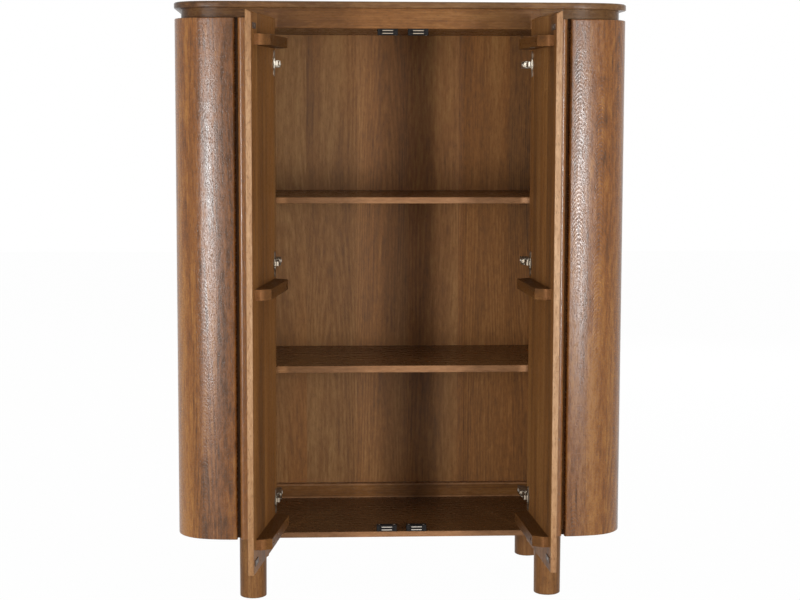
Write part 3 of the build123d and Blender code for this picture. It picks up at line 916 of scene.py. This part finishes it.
def leg_tree():
    """Turned legs: a circle swept up a line, which follows the taper and the foot."""
    steps_up, steps_round = 84, 56
    sizes = {
        "Height": 0.1245,
        "Foot Radius": 0.0268,
        "Top Radius": 0.0272,
        "Foot Easing": 0.003,
    }
    tree, given = input_tree("Turned Legs", sizes)
    foot, ease = given["Foot Radius"], given["Foot Easing"]
    top = tree.vector(0.0, 0.0, given["Height"])
    line = tree.node("GeometryNodeCurvePrimitiveLine", None, {"End": top})
    inputs = {"Curve": line, "Count": steps_up}
    stations = tree.node("GeometryNodeResampleCurve", None, inputs)
    share, rise = tree.outputs("GeometryNodeSplineParameter", ("Factor", "Length"))
    taper = foot + (given["Top Radius"] - foot) * share
    left = (ease - rise).math("MAXIMUM", 0.0)
    rounding = (ease * ease - left * left).math("MAXIMUM", 0.0)
    radius = taper - ease + rounding.math("SQRT")
    inputs = {"Resolution": steps_round, "Radius": 1.0}
    circle = tree.node("GeometryNodeCurvePrimitiveCircle", None, inputs)
    inputs = {"Curve": stations, "Profile Curve": circle}
    inputs.update({"Scale": radius, "Fill Caps": True})
    leg = tree.node("GeometryNodeCurveToMesh", None, inputs)
    inputs = {"Points": given["Geometry"], "Instance": leg}
    legs = tree.node("GeometryNodeInstanceOnPoints", None, inputs)
    return close_tree(tree, legs, given["Material"])


def screw_tree():
    """Countersunk screws with crossed heads, which look along an attribute."""
    head_steps, shank_steps = 24, 16
    dome_share, crown_share, taper_share, point_share = 0.3, 0.94, 0.9, 0.1
    slot_length, slot_width, slot_depth = 1.25, 0.26, 1.1
    sizes = {
        "Head Radius": 0.003,
        "Shank Radius": 0.0015,
        "Head Height": 0.0015,
        "Length": 0.012,
    }
    tree, given = input_tree("Cross Head Screws", sizes)
    head, shank = given["Head Radius"], given["Shank Radius"]
    head_height, length = given["Head Height"], given["Length"]
    dome = head_height * dome_share

    def cone(steps, bottom, depth, low_radius, high_radius):
        """A cut-off cone whose foot stands at the height bottom."""
        inputs = {"Vertices": steps, "Depth": depth}
        inputs.update({"Radius Bottom": low_radius, "Radius Top": high_radius})
        made = tree.node("GeometryNodeMeshCone", None, inputs)
        inputs = {"Geometry": made, "Translation": tree.vector(0.0, 0.0, bottom)}
        return tree.node("GeometryNodeTransform", None, inputs)

    def combine(operation, inputs):
        return tree.node("GeometryNodeMeshBoolean", {"operation": operation}, inputs)

    rim = cone(head_steps, 0.0 - dome, dome, head, head * crown_share)
    sink = cone(head_steps, 0.0 - head_height, head_height - dome, shank, head)
    low_shank, point = shank * taper_share, shank * point_share
    barrel_depth = length - head_height - shank
    barrel = cone(shank_steps, shank - length, barrel_depth, low_shank, shank)
    tip = cone(shank_steps, 0.0 - length, shank, point, low_shank)
    size = tree.vector(head * slot_length, head * slot_width, head_height * slot_depth)
    bars = []
    for turn in (0.0, math.pi / 2):
        bar = tree.node("GeometryNodeMeshCube", None, {"Size": size})
        inputs = {"Geometry": bar, "Rotation": (0.0, 0.0, turn)}
        bars.append(tree.node("GeometryNodeTransform", None, inputs))
    cross = combine("UNION", {"Mesh": bars})
    solid = combine("UNION", {"Mesh": [rim, sink]})
    crossed = combine("DIFFERENCE", {"Mesh 1": solid, "Mesh 2": cross})
    whole = tree.node("GeometryNodeJoinGeometry", None, {0: [tip, barrel, crossed]})
    settings = {"data_type": "FLOAT_VECTOR"}
    inputs = {"Name": "outward"}
    outward = tree.node("GeometryNodeInputNamedAttribute", settings, inputs)
    inputs = {"Vector": outward}
    aim = tree.node("FunctionNodeAlignRotationToVector", {"axis": "Z"}, inputs)
    inputs = {"Points": given["Geometry"], "Instance": whole, "Rotation": aim}
    screws = tree.node("GeometryNodeInstanceOnPoints", None, inputs)
    return close_tree(tree, screws, given["Material"])


def door_outward(side):
    """The way that a resting door's inner face looks."""
    turn = math.radians(rest_turn[side])
    sign = 1 if side == "right" else -1
    return Vector((-sign * math.sin(turn), math.cos(turn), 0.0))


def screw_layout():
    """Each CAD node of screws with its sizes and the way that its heads look."""

    def sizes(shank, head, height, length):
        """The radii of shank and head, the head's height and the whole length."""
        names = ("Shank Radius", "Head Radius", "Head Height", "Length")
        return dict(zip(names, (shank, head, height, length)))

    def to_middle(middle):
        return Vector((-math.copysign(1.0, middle.x), 0.0, 0.0))

    def off_board(middle):
        upper = middle.z > (cad_low.z + cad_high.z) / 2
        return Vector((0.0, 0.0, -1.0 if upper else 1.0))

    def to_rear(middle):
        return Vector((0.0, 1.0, 0.0))

    layout = {
        "hinge_plate_screws": (sizes(0.0017, 0.0032, 0.0014, 0.015), to_middle),
        "hinge_arm_screws": (sizes(0.0016, 0.003, 0.0016, 0.007), to_middle),
        "catch_screws": (sizes(0.0014, 0.0026, 0.0014, 0.016), off_board),
        "back_panel_screws": (sizes(0.0017, 0.0032, 0.0016, 0.028), to_rear),
    }
    kinds = {
        "batten_screws": sizes(0.002, 0.0036, 0.0025, 0.022),
        "hinge_cup_screws": sizes(0.0015, 0.0028, 0.0014, 0.009),
        "strike_screws": sizes(0.0014, 0.0026, 0.0012, 0.008),
    }
    for side in ("left", "right"):
        way = door_outward(side)
        for kind, values in kinds.items():
            layout[f"{side}_{kind}"] = (values, lambda middle, way=way: way)
    return layout


# Pieces
class DRESSER_OT_rounded_sides(bpy.types.Operator):
    """Make the two rounded sides of bent, stained wood"""

    bl_idname = "dresser.rounded_sides"
    bl_label = "Rounded Sides"

    def execute(self, context):
        for side, plank, seed, curl, shade, bands in (
            ("left", 0.055, 4.25, 0.35, 0.84, 1.45),
            ("right", 0.045, 92.02, 1.0, 0.80, 1.1),
        ):
            wood = stained_wood(
                side + "_side_wood",
                "z",
                wood_tones(shade, 1.65),
                plank=plank,
                uv="grain",
                seed=seed,
                bands=bands,
                figure=2.0,
                curl=curl,
                mottle=2.0,
                grey=0.9,
                pitted=1.5,
                relief=0.36,
                sheen=0.37,
            )
            make_side_shell(side, wood)
        return {"FINISHED"}


class DRESSER_OT_top(bpy.types.Operator):
    """Make the rounded top slab and the set-back board under it"""

    bl_idname = "dresser.top"
    bl_label = "Top"

    def execute(self, context):

        def from_left(low, high, share):
            """Painted shade: lighter towards the right-hand end, and darker towards the
            left, where less light falls.
            """
            return lambda paint, x, y, z: (paint.between(x, low, high) - 0.5) * share

        slab = stained_wood(
            "top_wood",
            "x",
            wood_tones(0.50),
            plank=0.12,
            seed=5.0,
            mottle=1.4,
            sheen=0.2,
            lift=from_left(-0.44, 0.40, 0.55),
        )
        neck = stained_wood(
            "neck_wood",
            "x",
            wood_tones(0.42),
            seed=8.0,
            mottle=1.4,
            lift=from_left(-0.10, 0.42, 0.45),
        )
        make_top_slab(slab)
        make_neck_board(neck)
        return {"FINISHED"}


class DRESSER_OT_legs(bpy.types.Operator):
    """Make the four turned legs"""

    bl_idname = "dresser.legs"
    bl_label = "Legs"

    def execute(self, context):
        sizes = context.scene.dresser_sizes
        material = stained_wood(
            "leg_wood",
            "z",
            wood_tones(0.66),
            seed=2.0,
            bands=0.4,
            mottle=1.3,
            gloss=0.1,
        )
        group = leg_tree()
        for place in ("front_left", "front_right", "rear_left", "rear_right"):
            node = place + "_leg"
            low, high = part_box(node)
            foot = Vector(((low.x + high.x) / 2, (low.y + high.y) / 2, low.z))
            values = {
                "Height": high.z - low.z,
                "Foot Radius": sizes.foot_radius,
                "Top Radius": (high.x - low.x) / 2,
                "Foot Easing": sizes.foot_ease,
                "Material": material,
            }
            mesh = grow(place + "_turned_leg", group, [foot], values)
            smooth(mesh)
            add_piece(place + "_turned_leg", mesh, material, [node])
        return {"FINISHED"}


class DRESSER_OT_screws(bpy.types.Operator):
    """Put a cross-headed screw wherever the model has one"""

    bl_idname = "dresser.screws"
    bl_label = "Screws"

    def execute(self, context):
        zinc = metal("zinc_plate", (0.50, 0.47, 0.42), 0.40)
        dark = metal("dark_screw_steel", (0.035, 0.028, 0.024), 0.50)
        group = screw_tree()
        for node, (values, way) in screw_layout().items():
            heads, ways = [], []
            for points in solids_of(node):
                middle = points_middle(points)
                outward = way(middle).normalized()
                reach = max((point - middle).dot(outward) for point in points)
                heads.append(middle + outward * reach)
                ways.append(outward)
            steel = dark if "batten" in node else zinc
            values = {**values, "Material": steel}
            mesh = grow(node + "_crossed", group, heads, values, {"outward": ways})
            mesh.shade_flat()
            add_piece(node + "_crossed", mesh, steel, [node], weighted=False)
        return {"FINISHED"}


class DRESSER_OT_metalwork(bpy.types.Operator):
    """Finish the hinges, catches, shelf pins, bolts and glides"""

    bl_idname = "dresser.metalwork"
    bl_label = "Metalwork"

    def execute(self, context):
        # Painted reflection: the lower hinges are painted dark brown, as if they mirrored
        # the wood, and the pole plates are painted dark at the top
        nickel = metal("nickel_plate", (0.60, 0.54, 0.45), 0.46, dark_reflection_heights=(0.62, 1.02))
        pole = metal("pole_plate", (0.42, 0.38, 0.33), 0.42, dark_reflection_heights=(1.0, 0.9))
        dull = metal("dull_plate", (0.13, 0.09, 0.07), 0.55)
        steel = metal("zinc_steel", (0.60, 0.58, 0.55), 0.36)
        black = moulded_plastic("black_plastic", (0.004, 0.003, 0.003), 0.75)
        brown = moulded_plastic("glide_plastic", (0.045, 0.036, 0.030), 0.55)
        for node in ("hinge_mounting_plates", "hinge_arms"):
            smooth_copy(node, nickel)
        smooth_copy("catch_pole_plates", pole)
        for side in ("left", "right"):
            for kind in ("hinge_cups", "hinge_links"):
                smooth_copy(f"{side}_{kind}", nickel)
            smooth_copy(side + "_strike_plates", dull)
        smooth_copy("shelf_pins", steel)
        smooth_copy("leg_bolts", steel)
        smooth_copy("catch_housings", black)
        smooth_copy("leg_glides", brown)
        return {"FINISHED"}


class DRESSER_OT_case(bpy.types.Operator):
    """Give the boards of the case their wood"""

    bl_idname = "dresser.case"
    bl_label = "Case"

    def execute(self, context):
        front_of = {node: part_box(node)[0].y for node in ("upper_shelf", "base_board")}
        # Pale tones for the painted light on the fronts of the shelves and the base board,
        # and for the rear rail's edges
        pale_tones = (opaque((0.17, 0.080, 0.034)), opaque((0.32, 0.160, 0.072)))
        # Colour of the painted shadow that the open doors throw on the ends of the rail
        door_shadow_tone = opaque((0.075, 0.032, 0.012))

        def painted_lit_front(node, left_door_shade):
            """Painted light and shade: the front face, which looks to the lamps, is
            painted paler, and less so towards the left-hand end, where the left door
            shades it.
            """
            front, door_shaded_end = front_of[node], (-0.26, -0.10)

            def mask(paint, x, y, z):
                share = paint.between(x, *door_shaded_end) * left_door_shade + (1.0 - left_door_shade)
                return paint.near(y, front, full=0.0012, none=0.0022) * share

            return mask

        def painted_door_shadow(paint, x, y, z):
            """Painted shadow of the open doors: darker towards both ends, where the doors
            stand.
            """
            ends, most = (0.17, 0.27), 0.7
            return paint.between(x.math("ABSOLUTE"), *ends) * most

        def on_arrises(paint, x, y, z):
            """Paler along the upper and lower edge of the rear rail."""
            low, high = rear_rail_span()
            above = paint.near(z, high, full=-0.0030, none=-0.0045)
            return above + paint.near(z, low, full=0.0020, none=0.0035)

        # The front rail and the top board carry the painted shadow of the open doors at
        # both ends
        rail = stained_wood(
            "rail_wood",
            "x",
            wood_tones(0.66),
            seed=6.0,
            mottle=1.2,
            edge=(painted_door_shadow, door_shadow_tone, door_shadow_tone),
        )
        rear_rail = stained_wood(
            "rear_rail_wood",
            "x",
            wood_tones(0.62),
            seed=6.0,
            edge=(on_arrises, *pale_tones),
        )
        upright = stained_wood(
            "case_upright_wood", "z", wood_tones(0.8), plank=0.09, seed=4.0, gloss=0.1
        )
        level = stained_wood(
            "case_level_wood",
            "x",
            wood_tones(0.43),
            seed=6.0,
            bands=0.3,
            mottle=0.25,
            pitted=0.1,
            edge=(painted_lit_front("base_board", 0.3), *pale_tones),
        )
        stile = stained_wood(
            "stile_wood",
            "z",
            wood_tones(0.92, 1.2),
            seed=9.0,
            bands=0.5,
            grey=0.0,
            gloss=-0.04,
            sheen=0.40,
        )
        shelf = stained_wood(
            "shelf_wood",
            "x",
            wood_tones(0.53),
            seed=1.0,
            bands=0.6,
            mottle=0.6,
            pitted=0.5,
            edge=(painted_lit_front("upper_shelf", 0.75), *pale_tones),
        )
        back = stained_wood(
            "back_wood",
            "z",
            wood_tones(0.95),
            plank=0.11,
            seed=7.0,
            planks=0.6,
            bands=0.8,
            figure=1.2,
            mottle=1.25,
            grey=2.0,
            pitted=0.5,
            gloss=0.1,
        )
        hidden = ("side_panel", "corner_post", "rear_post", "hinge_batten")
        for side in ("left", "right"):
            dress([f"{side}_{part}" for part in hidden], upright)
            dress([side + "_front_stile"], stile)
        dress(["front_rail", "top_board"], rail)
        dress(["base_board"], level)
        dress(["upper_shelf", "lower_shelf"], shelf)
        dress(["back_panel"], back)
        make_rear_rail(rear_rail)
        return {"FINISHED"}


class DRESSER_OT_doors(bpy.types.Operator):
    """Give the doors and their battens their wood"""

    bl_idname = "dresser.doors"
    bl_label = "Doors"

    def execute(self, context):
        raw_tone = opaque(context.scene.dresser_finish.raw_tone)
        worn_tone = opaque((0.24, 0.125, 0.06))
        # Colours of the painted light on the battens' front ends
        lit_end_tones = (opaque((0.20, 0.080, 0.026)), opaque((0.33, 0.150, 0.060)))
        for side, seed, edging in (("left", 12.0, 0.66), ("right", 13.0, 1.0)):
            low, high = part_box(side + "_door_leaf")

            def near_free_edge(paint, x, y, z, edge=low.y, edging=edging):
                """Paler on the free edge, and most at two thirds of its height."""
                least = 0.38
                rising = paint.between(z, 0.05, 0.62)
                falling = paint.between(z, 1.22, 0.92)
                middle = rising * falling * (1.0 - least) + least
                return paint.near(y, edge, full=0.0012, none=0.0022) * middle * edging

            def painted_lit_end(paint, x, y, z, edge=low.y):
                """Painted light: the batten's end that looks to the front, towards the
                lamps, is painted paler.
                """
                return paint.near(y, edge, full=0.022, none=0.030)

            def near_top(paint, x, y, z, top=high.z):
                """The leaf's top end, which is left rough."""
                return paint.near(z, top, full=-0.0060, none=-0.0080)

            leaf = stained_wood(
                side + "_door_wood",
                "z",
                wood_tones(0.76),
                plank=0.070,
                seed=seed,
                planks=0.45,
                gloss=0.15,
                sheen=0.03,
                edge=(near_free_edge, worn_tone, raw_tone),
                matt=near_top,
            )
            batten = stained_wood(
                side + "_batten_wood",
                "y",
                wood_tones(0.42, 1.15),
                seed=14.0,
                mottle=0.7,
                gloss=0.15,
                sheen=0.05,
                edge=(painted_lit_end, *lit_end_tones),
            )
            dress([side + "_door_leaf"], leaf)
            for level in ("lower", "middle", "upper"):
                dress([f"{side}_{level}_door_batten"], batten)
        return {"FINISHED"}


# Stage: the camera's place, turns, lens and sensor fit the edges in the photograph
camera_place = Vector((-0.21115, -3.73956, 0.99045))
camera_yaw, camera_pitch, camera_roll = map(math.radians, (3.206, 5.933, 0.157))
camera_lens, camera_sensor = 83.85, 36.0

# What the lamps look at, how strongly the world lights, and the floor
lamp_target = Vector((0.0, 0.0, 0.6))
ambient = 0.30
floor_reach, floor_grey, floor_glow = 9.0, 0.66, 0.985


def add_camera():
    ahead = Vector(
        (
            math.sin(camera_yaw) * math.cos(camera_pitch),
            math.cos(camera_yaw) * math.cos(camera_pitch),
            -math.sin(camera_pitch),
        )
    )
    level = Vector((math.cos(camera_yaw), -math.sin(camera_yaw), 0.0))
    up = level.cross(ahead)
    right = math.cos(camera_roll) * level + math.sin(camera_roll) * up
    above = math.cos(camera_roll) * up - math.sin(camera_roll) * level
    data = bpy.data.cameras.new("camera")
    data.lens = camera_lens
    data.sensor_width = camera_sensor
    camera = put_in_scene("camera", data)
    turned = Matrix((right, above, -ahead)).transposed().to_4x4()
    camera.matrix_world = Matrix.Translation(camera_place) @ turned
    bpy.context.scene.camera = camera


def add_softbox(name, azimuth, distance, height, size, power, mirrored=True):
    """An area lamp round the dresser: azimuth 0 is in front, and 90 to the right.

    One that isn't mirrored gives no highlight.
    """
    turn = math.radians(azimuth)
    place = Vector((distance * math.sin(turn), -distance * math.cos(turn), height))
    data = bpy.data.lights.new(name, "AREA")
    data.shape = "RECTANGLE"
    data.size, data.size_y = size
    data.energy = power
    lamp = put_in_scene(name, data)
    lamp.location = place
    lamp.rotation_mode = "QUATERNION"
    lamp.rotation_quaternion = (lamp_target - place).to_track_quat("-Z", "Y")
    lamp.visible_glossy = mirrored


def seen_directly(tree):
    """1 for rays from the camera, a mirror or glass, and 0 for those that light."""
    names = ("Is Camera Ray", "Is Glossy Ray", "Is Transmission Ray")
    camera, glossy, through = tree.outputs("ShaderNodeLightPath", names)
    return (camera + glossy + through).math("MINIMUM", 1.0)


def add_floor():
    mesh = bpy.data.meshes.new("floor_shape")
    signs = ((-1, -1), (1, -1), (1, 1), (-1, 1))
    corners = [(x * floor_reach, y * floor_reach, 0.0) for x, y in signs]
    mesh.from_pydata(corners, [], [(0, 1, 2, 3)])
    floor = put_in_scene("floor", mesh)
    paint = Paint("white_floor")
    grey = opaque((floor_grey,) * 3)
    paint.feed(Base_Color=grey, Roughness=0.9, Specular_IOR_Level=0.0)
    glow = paint.node("ShaderNodeEmission", None, {"Color": white, "Strength": 1.0})
    plain = Link(paint, paint.shader.outputs[0])
    inputs = {0: seen_directly(paint) * floor_glow, 1: plain, 2: glow}
    mixed = paint.node("ShaderNodeMixShader", None, inputs)
    output = paint.tree.nodes["Material Output"]
    paint.tree.links.new(mixed.socket, output.inputs["Surface"])
    mesh.materials.append(paint.material)


def add_world():
    world = bpy.data.worlds.new("studio")
    bpy.context.scene.world = world
    world.use_nodes = True
    tree = Tree(world.node_tree)
    background = world.node_tree.nodes["Background"]
    strength = seen_directly(tree) * (1.0 - ambient) + ambient
    background.inputs["Color"].default_value = white
    world.node_tree.links.new(strength.socket, background.inputs["Strength"])


class DRESSER_OT_stage(bpy.types.Operator):
    """Set up the white studio: camera, floor, soft lamps and backdrop"""

    bl_idname = "dresser.stage"
    bl_label = "Stage"

    def execute(self, context):
        add_camera()
        add_world()
        add_floor()
        # Azimuth in degrees, distance, height and size in metres, power in watts
        add_softbox("left_softbox", -33.5, 3.4, 0.62, (0.34, 1.0), 64.0)
        add_softbox("right_softbox", 25.0, 3.4, 0.66, (0.45, 1.0), 66.0)
        add_softbox("overhead", 0.0, 0.01, 3.4, (3.0, 3.0), 7.0)
        add_softbox("front_fill", -3.0, 4.2, 1.5, (1.5, 1.5), 14.0, mirrored=False)
        add_softbox("rear_fill", 160.0, 4.0, 1.8, (2.0, 2.0), 90.0, mirrored=False)
        context.scene.view_settings.view_transform = "Standard"
        return {"FINISHED"}


operators = (
    DRESSER_OT_stage,
    DRESSER_OT_rounded_sides,
    DRESSER_OT_top,
    DRESSER_OT_case,
    DRESSER_OT_doors,
    DRESSER_OT_legs,
    DRESSER_OT_metalwork,
    DRESSER_OT_screws,
)


class DRESSER_PT_panel(bpy.types.Panel):
    """Lists the sizes, the finish and the steps that make the dresser"""

    bl_idname = "DRESSER_PT_panel"
    bl_label = "Kitchen Dresser"
    bl_space_type = "VIEW_3D"
    bl_region_type = "UI"
    bl_category = "Dresser"

    def draw(self, context):
        for settings in (context.scene.dresser_sizes, context.scene.dresser_finish):
            box = self.layout.box()
            for name in settings.bl_rna.properties.keys():
                if name not in ("rna_type", "name"):
                    box.prop(settings, name)
        for operator in operators:
            self.layout.operator(operator.bl_idname)


classes = (DresserSizes, DresserFinish, *operators, DRESSER_PT_panel)


def register():
    for one in classes:
        bpy.utils.register_class(one)
    bpy.types.Scene.dresser_sizes = bpy.props.PointerProperty(type=DresserSizes)
    bpy.types.Scene.dresser_finish = bpy.props.PointerProperty(type=DresserFinish)


def unregister():
    del bpy.types.Scene.dresser_finish
    del bpy.types.Scene.dresser_sizes
    for one in reversed(classes):
        bpy.utils.unregister_class(one)


def main():
    register()
    for operator in operators:
        group, name = operator.bl_idname.split(".")
        getattr(getattr(bpy.ops, group), name)()


if __name__ == "__main__":
    main()
